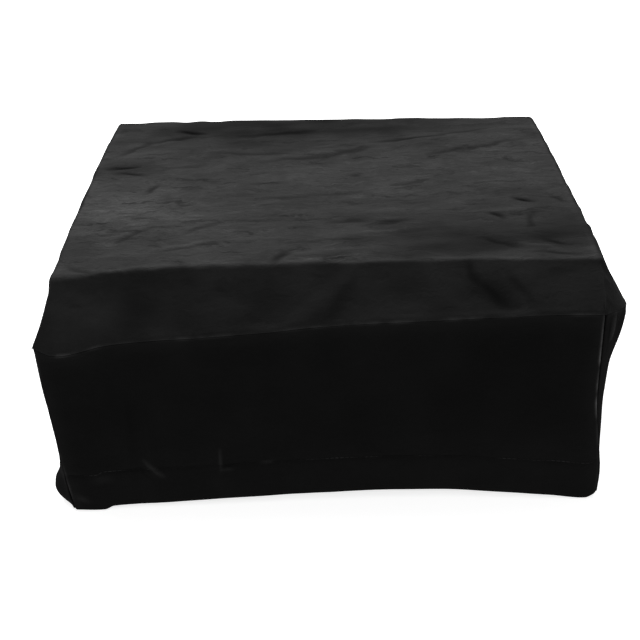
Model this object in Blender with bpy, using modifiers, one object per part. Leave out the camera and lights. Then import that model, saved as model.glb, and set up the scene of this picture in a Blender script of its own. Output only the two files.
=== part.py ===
"""Fitted velvet dust cover for a turntable, draped over the closed lid (which is left out).

Five sewn panels: a top that lies on the lid and slopes out past its edges, and four walls that
hang from the top's seam to a turned-up hem. Frame: +X to the right, +Y to the back, +Z up, with
the origin at the middle of the top's underside. Tables are in millimetres, as x, y and drop (the
depth below the top of the cloth) or as along, out and drop (out is the distance from the middle).
"""
import math

import bmesh
import bpy
from mathutils import Vector

MM = 0.001
CLOTH = 1.6 * MM            # thickness of one layer of velvet
HEM_CLOTH = 3.2 * MM        # two layers and the turn of the hem
PIECE_GAP = 0.3 * MM        # air between neighbouring panels
SEAM_DROP = 1.7             # mm that a wall starts below the top panel's edge
FOLD_RADIUS = 5.0           # mm, where the top panel turns over the lid's edge
HIP_SOFTNESS = 0.25         # how rounded the border's corners are, from 0 (a sharp hip)
CREASE_TAPER = 0.6          # how much lower a crease is at its ends than at its middle

# The four corners of the lid's edge, of the seam and of the hem: x, y, drop.
LID_CORNERS = {
    "front_left": (-218.8, -170.5, 0.0),
    "front_right": (219.6, -160.5, 0.0),
    "back_right": (213.5, 160.0, 0.0),
    "back_left": (-211.5, 172.0, 0.0),
}
SEAM_CORNERS = {
    "front_left": (-237.4, -203.0, 46.0),
    "front_right": (220.5, -200.0, 30.0),
    "back_right": (230.0, 194.0, 34.0),
    "back_left": (-232.0, 199.0, 37.0),
}
HEM_CORNERS = {
    "front_left": (-223.0, -206.5, 208.5),
    "front_right": (226.5, -206.0, 204.0),
    "back_right": (229.0, 201.0, 210.0),
    "back_left": (-230.0, 203.0, 210.0),
}
# Where the top panel turns over the lid's edge, between the corners: along, out, drop.
LID_EDGES = {
    "front": (
        (-185.0, 165.5, 0.0),
        (-147.0, 157.5, 0.0),
        (-45.0, 155.0, 0.0),
        (20.0, 156.0, 0.0),
        (130.0, 156.5, 0.0),
    ),
    "right": (
        (-120.0, 221.0, 0.0),
        (-55.0, 219.5, 0.0),
        (30.0, 218.0, 0.0),
        (125.0, 215.5, 0.0),
    ),
    "back": (
        (-100.0, 171.0, 0.0),
        (100.0, 164.5, 0.0),
    ),
    "left": (
        (-80.0, 219.0, 0.0),
        (0.0, 217.5, 0.0),
        (70.0, 216.5, 0.0),
        (130.0, 214.0, 0.0),
    ),
}
# Where the seam runs between the corners: along, out, drop.
SEAMS = {
    "front": (
        (-224.0, 201.5, 54.5),
        (-209.0, 200.5, 54.5),
        (-180.0, 199.5, 47.6),
        (-143.0, 199.0, 44.3),
        (-103.0, 199.0, 42.7),
        (-47.0, 199.0, 38.8),
        (9.0, 199.0, 34.2),
        (61.0, 199.0, 32.7),
        (112.0, 199.0, 31.2),
        (168.0, 199.5, 29.4),
    ),
    "right": (
        (-183.0, 236.0, 35.0),
        (-160.0, 246.3, 43.0),
        (-115.0, 241.2, 47.0),
        (-50.0, 236.0, 42.0),
        (40.0, 234.0, 38.0),
        (130.0, 233.0, 40.0),
    ),
    "back": (
        (-150.0, 198.0, 42.0),
        (-40.0, 195.0, 36.0),
        (80.0, 196.0, 39.0),
        (170.0, 195.0, 33.0),
    ),
    "left": (
        (-170.0, 235.0, 50.0),
        (-100.0, 231.0, 42.0),
        (0.0, 229.0, 38.0),
        (110.0, 231.0, 41.0),
    ),
}
# Where the hem's edge runs between the corners: along, out, drop.
HEMS = {
    "front": (
        (-197.0, 206.0, 209.5),
        (-189.0, 204.5, 207.0),
        (-140.0, 202.5, 206.0),
        (-90.0, 201.0, 204.2),
        (-45.0, 199.5, 203.4),
        (10.0, 198.0, 202.5),
        (60.0, 198.0, 201.8),
        (105.0, 199.0, 202.6),
        (145.0, 201.5, 204.5),
        (188.0, 204.5, 207.0),
        (217.0, 206.0, 209.5),
    ),
    "right": (
        (-150.0, 227.0, 207.0),
        (0.0, 224.0, 205.0),
        (130.0, 227.0, 208.0),
    ),
    "back": (
        (-120.0, 198.0, 206.0),
        (20.0, 195.0, 203.0),
        (150.0, 198.0, 207.0),
    ),
    "left": (
        (-190.0, 231.2, 207.5),
        (-165.0, 232.5, 209.0),
        (-120.0, 230.0, 207.0),
        (20.0, 225.0, 205.0),
        (140.0, 227.0, 208.0),
    ),
}
# How the corner seams hang between the top seam and the hem: drop, x, y.
CORNER_SEAMS = {
    "front_left": (
        (80.0, -236.6, -201.0),
        (120.0, -234.2, -200.0),
        (160.0, -230.8, -200.5),
        (185.0, -227.5, -203.0),
    ),
    "front_right": (
        (70.0, 220.8, -199.0),
        (115.0, 222.0, -198.0),
        (150.0, 225.9, -199.0),
        (185.0, 228.4, -202.0),
    ),
    "back_right": (
        (90.0, 227.0, 194.0),
        (150.0, 227.0, 197.0),
    ),
    "back_left": (
        (90.0, -229.0, 197.0),
        (150.0, -228.0, 199.0),
    ),
}
# Soft folds in the hanging walls: along, drop, half width along, half height, push outwards.
WALL_FOLDS = {
    "front": (
        (-153.0, 150.0, 9.0, 70.0, 1.8),
        (-166.0, 150.0, 8.0, 70.0, -1.8),
        (-96.0, 172.0, 9.0, 30.0, 1.6),
        (10.0, 110.0, 90.0, 60.0, -3.0),
        (205.0, 70.0, 24.0, 60.0, 2.0),
    ),
    "right": (
        (-172.0, 75.0, 14.0, 50.0, 4.0),
        (-146.0, 84.0, 50.0, 46.0, -5.8),
        (-30.0, 120.0, 40.0, 75.0, 3.0),
        (70.0, 130.0, 40.0, 70.0, -4.0),
    ),
    "back": (
        (-130.0, 120.0, 40.0, 70.0, -3.0),
        (0.0, 130.0, 60.0, 70.0, 3.0),
        (140.0, 110.0, 40.0, 70.0, -4.0),
    ),
    "left": (
        (-160.0, 125.0, 46.0, 72.0, -9.5),
        (-184.0, 197.0, 22.0, 18.0, 8.6),
        (-60.0, 120.0, 40.0, 70.0, 3.0),
        (60.0, 130.0, 50.0, 70.0, -4.0),
    ),
}
# Raised creases in the top panel, laid out on the flat cloth: start x, y, end x, y, half width, height.
TOP_CREASES = (
    (-95.0, 45.0, 40.0, 92.0, 20.0, 2.2),
    (40.0, 92.0, 205.0, 122.0, 18.0, 2.4),
    (60.0, 62.0, 170.0, 100.0, 16.0, 1.6),
    (-185.0, 70.0, -120.0, 110.0, 18.0, 1.8),
    (-150.0, -70.0, 60.0, -58.0, 14.0, 1.4),
    (-190.0, -105.0, -120.0, -82.0, 15.0, 1.6),
    (120.0, -78.0, 205.0, -66.0, 14.0, 2.2),
    (135.0, -120.0, 222.0, -104.0, 14.0, 2.2),
    (-40.0, -148.0, 50.0, -140.0, 13.0, 1.8),
    (-225.0, -168.0, -176.0, -184.0, 12.0, 2.0),
    (-30.0, -206.0, 24.0, -170.0, 14.0, 2.0),
    (112.0, -172.0, 158.0, -212.0, 13.0, -2.4),
    (-70.0, -176.0, -44.0, -206.0, 14.0, -1.8),
    (222.0, -176.0, 240.0, -214.0, 11.0, 2.4),
)

LID_COLUMNS = 20            # cells across the lid, and from its front to its back
LID_ROWS = 28
BORDER = 48.0               # mm of cloth from the lid's edge to the seam
BORDER_STOPS = (0.06, 0.13, 0.26, 0.5, 0.75, 1.0)       # cell edges down that border
WALL_COLUMNS = {"front": 36, "right": 26, "back": 26, "left": 26}
HEM_STOPS = (0.0, 0.1, 0.2)                             # cell edges up a wall, as shares of its height
WALL_STOPS = (0.225, 0.33, 0.44, 0.55, 0.66, 0.78, 0.9, 1.0)
VELVET = (0.012, 0.012, 0.013, 1.0)

# Each side's first and last corner, and which way is out.
SIDES = {
    "front": ("front_left", "front_right", Vector((0.0, -1.0, 0.0))),
    "right": ("front_right", "back_right", Vector((1.0, 0.0, 0.0))),
    "back": ("back_left", "back_right", Vector((0.0, 1.0, 0.0))),
    "left": ("front_left", "back_left", Vector((-1.0, 0.0, 0.0))),
}


def smooth_row(rows, at):
    """The row whose first column is at, on a smooth curve through the given rows."""
    last = len(rows) - 1
    at = min(max(at, rows[0][0]), rows[last][0])
    k = max(i for i in range(last) if rows[i][0] <= at)
    span = rows[k + 1][0] - rows[k][0]
    t = (at - rows[k][0]) / span

    def slope(i, column):
        before, after = rows[max(i - 1, 0)], rows[min(i + 1, last)]
        return (after[column] - before[column]) / (after[0] - before[0])

    def value(column):
        start, end = rows[k][column], rows[k + 1][column]
        ease = t * t * (3.0 - 2.0 * t)
        leave = t * (1.0 - t) ** 2 * span * slope(k, column)
        arrive = t * t * (1.0 - t) * span * slope(k + 1, column)
        return start + (end - start) * ease + leave - arrive

    return (at, *(value(column) for column in range(1, len(rows[0]))))


def edge_line(side, corners, rows):
    """A side's line through its two corners and the rows between, by share s or by distance along."""
    first, last, out = SIDES[side]
    along_axis = Vector((abs(out.y), abs(out.x), 0.0))

    def corner_row(name):
        x, y, drop = corners[name]
        point = Vector((x, y, 0.0))
        return (point.dot(along_axis), point.dot(out), drop)

    track = (corner_row(first), *rows, corner_row(last))

    def at(s=None, along=None):
        if along is None:
            along = track[0][0] + s * (track[-1][0] - track[0][0])
        along, reach, drop = smooth_row(track, along)
        return along_axis * along + out * reach - Vector((0.0, 0.0, drop))

    return at


def patch(low, high, left, right):
    """A smooth patch spanned by four edges: low and high run with s, left and right with t."""

    def at(s, t):
        across = low(s) * (1.0 - t) + high(s) * t
        up = left(t) * (1.0 - s) + right(t) * s
        low_pair = low(0.0) * (1.0 - s) + low(1.0) * s
        high_pair = high(0.0) * (1.0 - s) + high(1.0) * s
        return across + up - low_pair * (1.0 - t) - high_pair * t

    return at


LID_LINES = {side: edge_line(side, LID_CORNERS, LID_EDGES[side]) for side in SIDES}
SEAM_LINES = {side: edge_line(side, SEAM_CORNERS, SEAMS[side]) for side in SIDES}
HEM_LINES = {side: edge_line(side, HEM_CORNERS, HEMS[side]) for side in SIDES}
on_lid = patch(*(LID_LINES[side] for side in ("front", "back", "left", "right")))


def corner_seam(corner):
    """The upright seam at a corner, from the hem (t = 0) up to the top panel's seam (t = 1)."""
    x, y, drop = SEAM_CORNERS[corner]
    hem_x, hem_y, hem_drop = HEM_CORNERS[corner]
    top_drop = drop + SEAM_DROP
    rows = ((top_drop, x, y), *CORNER_SEAMS[corner], (hem_drop, hem_x, hem_y))

    def at(t):
        drop, x, y = smooth_row(rows, hem_drop + t * (top_drop - hem_drop))
        return Vector((x, y, -drop))

    return at


def over_edge(fold, seam, t):
    """From the fold over the lid's edge (t = 0), round an arc, then straight to the seam (t = 1)."""
    out = Vector((seam.x - fold.x, seam.y - fold.y, 0.0))
    reach, fall = out.length, fold.z - seam.z
    far = math.hypot(reach, fall - FOLD_RADIUS)
    turn = math.atan2(fall - FOLD_RADIUS, reach) + math.asin(FOLD_RADIUS / far)
    straight = math.sqrt(far**2 - FOLD_RADIUS**2)
    run = t * (FOLD_RADIUS * turn + straight)
    bend = min(run / FOLD_RADIUS, turn)
    rest = max(run - FOLD_RADIUS * turn, 0.0)
    forward = FOLD_RADIUS * math.sin(bend) + rest * math.cos(turn)
    down = FOLD_RADIUS * (1.0 - math.cos(bend)) + rest * math.sin(turn)
    return fold + out * (forward / reach) - Vector((0.0, 0.0, down))


def border_point(side, s, t):
    """Down the sloping border of a side, from the lid's edge (t = 0) to the seam (t = 1)."""
    fold = LID_LINES[side](s)
    seam = SEAM_LINES[side](along=fold.x if SIDES[side][2].x == 0.0 else fold.y)
    return over_edge(fold, seam, t)


def corner_point(end, side, a, b):
    """The border's corner, a and b down its side and its end: a soft hip runs to the seam's corner."""
    corner = end + "_" + side
    lid_x, lid_y, lid_drop = LID_CORNERS[corner]
    seam_x, seam_y, seam_drop = SEAM_CORNERS[corner]
    lid = Vector((lid_x, lid_y, -lid_drop))
    seam = Vector((seam_x, seam_y, -seam_drop))
    s, t = (1.0 if side == "right" else 0.0), (1.0 if end == "back" else 0.0)
    down = max(a, b)
    lean = (b - a) / down
    soft = math.sqrt(lean**2 + HIP_SOFTNESS**2 * (1.0 - lean**2))

    def hipped(k):
        hip = over_edge(lid, seam, k)
        to_end = (border_point(end, s, k) - hip) * (soft + lean) / 2.0
        to_side = (border_point(side, t, k) - hip) * (soft - lean) / 2.0
        return hip + to_end + to_side

    if b >= a:
        on_seam = SEAM_LINES[end](along=lid_x + a / down * (seam_x - lid_x))
    else:
        on_seam = SEAM_LINES[side](along=lid_y + b / down * (seam_y - lid_y))
    return hipped(down) + (on_seam - hipped(1.0)) * down**3


def top_point(u, v):
    """The top panel: its lid part where u and v are within 1, its border out to the seam at 2."""
    s, t = (min(max(0.5 + 0.5 * w, 0.0), 1.0) for w in (u, v))
    a, b = (max(abs(w) - 1.0, 0.0) for w in (u, v))
    side = "right" if u > 0.0 else "left"
    end = "back" if v > 0.0 else "front"
    if a == 0.0 and b == 0.0:
        return on_lid(s, t)
    if a == 0.0:
        return border_point(end, s, b)
    if b == 0.0:
        return border_point(side, t, a)
    return corner_point(end, side, a, b)


def top_lift(u, v):
    """How far the creases raise the top panel, from their places on the flat cloth; none at the seam."""
    lid = on_lid(*(min(max(0.5 + 0.5 * w, 0.0), 1.0) for w in (u, v)))
    over = Vector([math.copysign(max(abs(w) - 1.0, 0.0), w) for w in (u, v)])
    spot = lid.xy + over * BORDER
    lift = 0.0
    for start_x, start_y, end_x, end_y, half_width, height in TOP_CREASES:
        start, run = Vector((start_x, start_y)), Vector((end_x - start_x, end_y - start_y))
        along = min(max((spot - start).dot(run) / run.length_squared, 0.0), 1.0)
        away = (spot - start - run * along).length / half_width
        if away < 1.0:
            taper = 1.0 - CREASE_TAPER * (2.0 * along - 1.0) ** 2
            lift += height * taper * (1.0 - away**2) ** 2
    return lift * (1.0 - max(abs(over.x), abs(over.y)) ** 4)


def wall_lift(side, spot):
    """How far the soft folds push a wall outwards."""
    along = spot.x if SIDES[side][2].x == 0.0 else spot.y
    lift = 0.0
    for fold_along, fold_drop, half_along, half_drop, push in WALL_FOLDS[side]:
        away = math.hypot((along - fold_along) / half_along, (spot.z + fold_drop) / half_drop)
        if away < 1.0:
            lift += push * (1.0 - away**2) ** 2
    return lift


def wall_surface(side):
    """A wall as a function of s, along it, and t, from the hem up to the seam."""
    first, last, _ = SIDES[side]
    tucked = side in ("right", "left")

    def seam_line(s):
        return SEAM_LINES[side](s) - Vector((0.0, 0.0, SEAM_DROP))

    hung = patch(HEM_LINES[side], seam_line, corner_seam(first), corner_seam(last))
    length = (SEAM_LINES[side](1.0) - SEAM_LINES[side](0.0)).length

    def at(s, t):
        """The side walls stop short of the front and back walls' cloth."""
        cloth = HEM_CLOTH if t <= HEM_STOPS[-1] else CLOTH
        inset = (cloth + PIECE_GAP) / MM / length if tucked else 0.0
        return hung(inset + s * (1.0 - 2.0 * inset), t)

    return at


def velvet_panel(name, columns, rows, place, lift, hem_rows=0):
    """A panel: a grid with cell edges at columns and rows, draped, creased and given its thickness."""
    mesh = bpy.data.meshes.new(name)
    shape = bmesh.new()
    hem_layer = shape.verts.layers.deform.verify()
    bmesh.ops.create_grid(shape, x_segments=len(columns) - 1, y_segments=len(rows) - 1, size=1.0)
    cells = []
    for vert in shape.verts:
        i = round((vert.co.x + 1.0) / 2.0 * (len(columns) - 1))
        j = round((vert.co.y + 1.0) / 2.0 * (len(rows) - 1))
        cells.append((columns[i], rows[j]))
        vert[hem_layer][0] = 1.0 if j < hem_rows else 0.0
        vert.co = place(columns[i], rows[j])
    shape.normal_update()
    lifted = [vert.co + vert.normal * lift(*cell, vert.co) for vert, cell in zip(shape.verts, cells)]
    for vert, spot in zip(shape.verts, lifted):
        vert.co = spot * MM
    shape.normal_update()
    shape.to_mesh(mesh)
    shape.free()
    panel = bpy.data.objects.new(name, mesh)
    panel.vertex_groups.new(name="hem")
    mesh.shade_smooth()
    mesh.materials.append(velvet_material(name))
    solid = panel.modifiers.new("Cloth", "SOLIDIFY")
    solid.thickness = HEM_CLOTH if hem_rows else CLOTH
    solid.thickness_vertex_group = CLOTH / HEM_CLOTH if hem_rows else 1.0
    solid.vertex_group = "hem" if hem_rows else ""
    solid.offset = -1.0
    solid.use_even_offset = False
    return panel


def velvet_material(name):
    material = bpy.data.materials.new(name + "_velvet")
    material.use_nodes = True
    shader = material.node_tree.nodes["Principled BSDF"]
    shader.inputs["Base Color"].default_value = VELVET
    shader.inputs["Roughness"].default_value = 0.9
    shader.inputs["Metallic"].default_value = 0.0
    return material


def top_panel():
    """The panel over the lid, its underside level where it bears."""
    border = [1.0 + stop for stop in BORDER_STOPS]
    ends = [-stop for stop in reversed(border)]

    def stops(cells):
        return ends + [2.0 * i / cells - 1.0 for i in range(cells + 1)] + border

    def place(u, v):
        return top_point(u, v) + Vector((0.0, 0.0, CLOTH / MM))

    return velvet_panel("top_panel", stops(LID_COLUMNS), stops(LID_ROWS), place,
                        lambda u, v, spot: top_lift(u, v))


def wall_panel(side):
    """A hanging wall with its turned-up hem."""
    surface = wall_surface(side)
    columns = [i / WALL_COLUMNS[side] for i in range(WALL_COLUMNS[side] + 1)]
    if side in ("back", "left"):
        columns.reverse()

    def place(s, t):
        return surface(s, t) + Vector((0.0, 0.0, CLOTH / MM))

    return velvet_panel(side + "_wall", columns, HEM_STOPS + WALL_STOPS, place,
                        lambda s, t, spot: wall_lift(side, spot), hem_rows=len(HEM_STOPS))


def build():
    for leftover in list(bpy.data.objects):
        bpy.data.objects.remove(leftover, do_unlink=True)
    cover = bpy.data.collections.new("turntable_dust_cover")
    bpy.context.scene.collection.children.link(cover)
    cover.objects.link(top_panel())
    for side in SIDES:
        cover.objects.link(wall_panel(side))


build()
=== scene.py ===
"""A fitted velvet dust cover, draped over a record turntable whose lid is closed.

Five panels of black velvet: the top lies on the lid and slopes out past its edges, and four walls
hang from the top's seam to a turned-up, stitched hem. The turntable is left out. The tables give
places on the cover in millimetres, from the middle of the top: x to the right, y to the back, and
drop, the depth below the top. Along a side they are along, out (from the middle) and drop.
"""
import math

import bpy
import numpy as np
from mathutils import Matrix, Vector


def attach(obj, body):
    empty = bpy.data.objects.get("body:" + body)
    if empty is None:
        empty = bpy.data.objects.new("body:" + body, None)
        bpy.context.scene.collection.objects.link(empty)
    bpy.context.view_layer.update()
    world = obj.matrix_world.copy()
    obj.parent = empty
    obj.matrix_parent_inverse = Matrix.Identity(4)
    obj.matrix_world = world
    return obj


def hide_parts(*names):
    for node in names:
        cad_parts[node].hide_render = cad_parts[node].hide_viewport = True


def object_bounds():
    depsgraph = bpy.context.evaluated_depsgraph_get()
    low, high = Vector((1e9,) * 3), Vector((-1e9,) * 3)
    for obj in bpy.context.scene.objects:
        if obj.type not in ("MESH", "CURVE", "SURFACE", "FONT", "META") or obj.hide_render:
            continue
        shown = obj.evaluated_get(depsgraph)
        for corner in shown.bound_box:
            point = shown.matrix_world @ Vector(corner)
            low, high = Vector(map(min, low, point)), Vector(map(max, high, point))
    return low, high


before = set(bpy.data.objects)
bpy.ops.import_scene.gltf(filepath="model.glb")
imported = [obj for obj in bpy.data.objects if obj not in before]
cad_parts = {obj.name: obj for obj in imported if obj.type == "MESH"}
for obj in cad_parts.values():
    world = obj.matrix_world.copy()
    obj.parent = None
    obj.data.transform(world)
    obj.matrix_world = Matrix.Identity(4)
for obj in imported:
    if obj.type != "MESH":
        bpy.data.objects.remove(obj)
cad_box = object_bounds()
MM = 0.001

# ---------------------------------------------------------------------------------------------
# The studio: a pale seamless floor under a broad overhead softbox, as for a catalogue.
# The camera stands a long arm's length in front and looks down on the cover by 30 degrees.

FLOOR_REACH = 6.0
floor_mesh = bpy.data.meshes.new("studio_floor")
floor_mesh.from_pydata(
    [(x * FLOOR_REACH, y * FLOOR_REACH, cad_box[0].z) for x, y in ((-1, -1), (1, -1), (1, 1), (-1, 1))],
    [],
    [(0, 1, 2, 3)],
)
floor = bpy.data.objects.new("studio_floor", floor_mesh)
bpy.context.scene.collection.objects.link(floor)
floor_paint = bpy.data.materials.new("floor_paper")
floor_paint.use_nodes = True
paper = floor_paint.node_tree.nodes["Principled BSDF"].inputs
paper["Base Color"].default_value = (0.8, 0.8, 0.8, 1)
paper["Roughness"].default_value = 0.95
paper["Emission Color"].default_value = (1.0, 1.0, 1.0, 1.0)
paper["Emission Strength"].default_value = 0.78
floor_mesh.materials.append(floor_paint)

world = bpy.data.worlds.new("studio")
world.use_nodes = True
world.node_tree.nodes["Background"].inputs["Color"].default_value = (1.0, 1.0, 1.0, 1.0)
world.node_tree.nodes["Background"].inputs["Strength"].default_value = 0.45
bpy.context.scene.world = world
bpy.context.scene.view_settings.view_transform = "Standard"


def softbox(name, place, aim, width, height, watts):
    """A rectangular studio light that faces the point it is aimed at."""
    lamp = bpy.data.lights.new(name, "AREA")
    lamp.shape = "RECTANGLE"
    lamp.size, lamp.size_y = width, height
    lamp.energy = watts
    light = bpy.data.objects.new(name, lamp)
    light.location = place
    light.rotation_euler = (Vector(place) - Vector(aim)).to_track_quat("Z", "Y").to_euler()
    bpy.context.scene.collection.objects.link(light)


softbox("overhead_softbox", (-0.3, 0.9, 1.7), (0.0, 0.0, 0.0), 2.2, 1.4, 75.0)

CAMERA_PLACE = (0.0004, -1.024, 0.4482)
CAMERA_DOWN = 30.0
CAMERA_TURN = 0.487
CAMERA_TILT = -1.7
eye = bpy.data.cameras.new("eye")
eye.lens = 67.5
eye.sensor_width = 36.0
camera = bpy.data.objects.new("camera", eye)
camera.matrix_world = (
    Matrix.Translation(CAMERA_PLACE)
    @ Matrix.Rotation(math.radians(CAMERA_TURN), 4, "Z")
    @ Matrix.Rotation(math.radians(90.0 - CAMERA_DOWN), 4, "X")
    @ Matrix.Rotation(math.radians(CAMERA_TILT), 4, "Z")
)
bpy.context.scene.collection.objects.link(camera)
bpy.context.scene.camera = camera

# ---------------------------------------------------------------------------------------------
# Top panel: one rectangle of crushed velvet, cut larger than the lid. It lies flat on the lid,
# turns over its four edges and slopes out to the seam, where the border is turned under and sewn
# to the walls. Its main creases run across the width, left by folding and by the hand.

CLOTH = 1.6                 # thickness of one layer
FOLD_RADIUS = 5.0           # where the panel turns over the lid's edge
HIP_SOFTNESS = 0.25         # how rounded the border's corners are, from 0 (a sharp hip)
BORDER = 48.0               # from that edge to the seam
CREASE_TAPER = 0.6          # how much lower a crease is at its ends than at its middle
SEAM_HIGHLIGHT_REACH = 0.8            # how far a seam's painted highlight reaches from it
SEAM_ROLL = 0.8             # radius of the cloth's turn into a seam
SEAM_ALLOWANCE = 7.0
ROLL_STEPS = 7
EDGE_LIP = 0.7
LID_PILE_AND_LIGHT = 0.44          # the share of the lighter pile, from 0 (standing) to 1, on the lid and the border: partly how flat the pile lies, partly painted light on the lid and painted shade on the sloping border
BORDER_PILE_AND_SHADE = 0.17
RIM_HIGHLIGHT = 0.12          # how much lighter the rim along the lid's edge is painted: a painted highlight
RIM_PLACE = 1.6             # from that edge to the middle of the rim
RIM_WIDTH = 1.8
MARK_HEIGHT = 0.55          # the share of its height in the table that a mark of handling has
MARK_LIGHT_AND_SHADE = 0.2            # how much lighter a mark is painted on its ridges and darker in its troughs, for each mm that it stands out: painted highlight and painted shade
RIPPLE_SLANT = 0.12         # how far the ripples rise to the right, for each mm across
CREASES_END = 5.0           # the creases die away over this distance from the seam
LID_CORNERS = {
    "front_left": (-218.8, -170.5, 0.0),
    "front_right": (219.6, -160.5, 0.0),
    "back_right": (213.5, 160.0, 0.0),
    "back_left": (-211.5, 172.0, 0.0),
}
SEAM_CORNERS = {
    "front_left": (-237.4, -203.0, 46.0),
    "front_right": (220.5, -200.0, 30.0),
    "back_right": (230.0, 194.0, 34.0),
    "back_left": (-232.0, 199.0, 37.0),
}
LID_EDGES = {
    "front": (
        (-185.0, 165.5, 0.0),
        (-147.0, 157.5, 0.0),
        (-45.0, 155.0, 0.0),
        (20.0, 156.0, 0.0),
        (130.0, 156.5, 0.0),
    ),
    "right": (
        (-120.0, 221.0, 0.0),
        (-55.0, 219.5, 0.0),
        (30.0, 218.0, 0.0),
        (125.0, 215.5, 0.0),
    ),
    "back": (
        (-100.0, 171.0, 0.0),
        (100.0, 164.5, 0.0),
    ),
    "left": (
        (-80.0, 219.0, 0.0),
        (0.0, 217.5, 0.0),
        (70.0, 216.5, 0.0),
        (130.0, 214.0, 0.0),
    ),
}
SEAMS = {
    "front": (
        (-224.0, 201.5, 54.5),
        (-209.0, 200.5, 54.5),
        (-180.0, 199.5, 47.6),
        (-143.0, 199.0, 44.3),
        (-103.0, 199.0, 42.7),
        (-47.0, 199.0, 38.8),
        (9.0, 199.0, 34.2),
        (61.0, 199.0, 32.7),
        (112.0, 199.0, 31.2),
        (168.0, 199.5, 29.4),
    ),
    "right": (
        (-183.0, 236.0, 35.0),
        (-160.0, 246.3, 43.0),
        (-115.0, 241.2, 47.0),
        (-50.0, 236.0, 42.0),
        (40.0, 234.0, 38.0),
        (130.0, 233.0, 40.0),
    ),
    "back": (
        (-150.0, 198.0, 42.0),
        (-40.0, 195.0, 36.0),
        (80.0, 196.0, 39.0),
        (170.0, 195.0, 33.0),
    ),
    "left": (
        (-170.0, 235.0, 50.0),
        (-100.0, 231.0, 42.0),
        (0.0, 229.0, 38.0),
        (110.0, 231.0, 41.0),
    ),
}
# On the flat cloth: start x, y, end x, y, half width, height. The border lies beyond the lid's edge.
TOP_CREASES = (
    (-95.0, 45.0, 40.0, 92.0, 20.0, 2.2),
    (40.0, 92.0, 205.0, 122.0, 18.0, 2.4),
    (60.0, 62.0, 170.0, 100.0, 16.0, 1.6),
    (-185.0, 70.0, -120.0, 110.0, 18.0, 1.8),
    (-150.0, -70.0, 60.0, -58.0, 14.0, 1.4),
    (-190.0, -105.0, -120.0, -82.0, 15.0, 1.6),
    (120.0, -78.0, 205.0, -66.0, 14.0, 2.2),
    (135.0, -120.0, 222.0, -104.0, 14.0, 2.2),
    (-40.0, -148.0, 50.0, -140.0, 13.0, 1.8),
    (-225.0, -168.0, -176.0, -184.0, 12.0, 2.0),
    (-30.0, -206.0, 24.0, -170.0, 14.0, 2.0),
    (112.0, -172.0, 158.0, -212.0, 13.0, -2.4),
    (-70.0, -176.0, -44.0, -206.0, 14.0, -1.8),
    (222.0, -176.0, 240.0, -214.0, 11.0, 2.4),
)
# The finer marks of handling, in the same columns: narrow troughs and the ridges beside them. Their troughs
# are painted darker and their ridges lighter too.
TOP_MARKS = (
    (-205.0, 80.0, -175.0, 115.0, 6.0, -1.2),
    (-175.0, 115.0, -130.0, 130.0, 6.0, -1.0),
    (-150.0, 145.0, -120.0, 135.0, 6.0, -1.0),
    (-205.0, 50.0, -180.0, 55.0, 5.0, -1.3),
    (-200.0, 40.0, -170.0, 35.0, 5.0, -1.4),
    (-165.0, -10.0, -155.0, 10.0, 5.0, -1.7),
    (-150.0, 45.0, -115.0, 55.0, 5.0, -0.8),
    (-110.0, 85.0, -35.0, 75.0, 6.0, -0.8),
    (-60.0, 55.0, 0.0, 65.0, 6.0, -1.0),
    (0.0, 65.0, 50.0, 90.0, 7.0, -1.2),
    (50.0, 100.0, 120.0, 115.0, 7.0, -1.6),
    (120.0, 115.0, 165.0, 130.0, 5.0, -0.8),
    (-85.0, 125.0, -10.0, 135.0, 6.0, -0.6),
    (100.0, 65.0, 145.0, 80.0, 5.0, -0.8),
    (145.0, 80.0, 195.0, 100.0, 5.0, -1.1),
    (-70.0, 5.0, -20.0, 10.0, 5.0, -0.8),
    (-70.0, -30.0, -15.0, -25.0, 5.0, -0.8),
    (-15.0, -25.0, 35.0, -20.0, 4.0, -0.6),
    (25.0, 20.0, 35.0, 20.0, 6.0, -1.1),
    (170.0, -40.0, 185.0, -50.0, 5.0, -1.8),
    (140.0, -75.0, 155.0, -80.0, 5.0, -1.8),
    (200.0, -35.0, 210.0, -50.0, 4.0, -1.1),
    (180.0, -70.0, 175.0, -100.0, 5.0, -0.9),
    (-180.0, -110.0, -150.0, -85.0, 5.0, -1.4),
    (-120.0, -95.0, -90.0, -75.0, 5.0, -1.0),
    (-90.0, -75.0, -40.0, -75.0, 5.0, -0.7),
    (0.0, -80.0, 40.0, -80.0, 6.0, -0.9),
    (45.0, -85.0, 75.0, -80.0, 5.0, -1.1),
    (-145.0, -130.0, -105.0, -120.0, 4.0, -0.9),
    (-145.0, -125.0, -105.0, -115.0, 4.0, 0.8),
    (-210.0, -155.0, -190.0, -165.0, 5.0, -0.9),
    (-45.0, -155.0, -30.0, -135.0, 6.0, -1.4),
    (-35.0, -155.0, 30.0, -150.0, 4.0, 1.1),
    (-30.0, -120.0, 30.0, -115.0, 4.0, -0.8),
    (10.0, -105.0, 60.0, -100.0, 4.0, 0.7),
    (130.0, -120.0, 155.0, -135.0, 5.0, -0.5),
    (160.0, -130.0, 190.0, -140.0, 4.0, 0.8),
    (180.0, -125.0, 205.0, -135.0, 4.0, -0.8),
    (170.0, -145.0, 210.0, -155.0, 4.0, -0.9),
    (115.0, -160.0, 120.0, -175.0, 5.0, -0.45),
    (120.0, -175.0, 145.0, -200.0, 5.0, -0.3),
    (145.0, -170.0, 165.0, -200.0, 6.0, -0.3),
    (25.0, -165.0, 5.0, -195.0, 8.0, -0.25),
)
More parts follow.
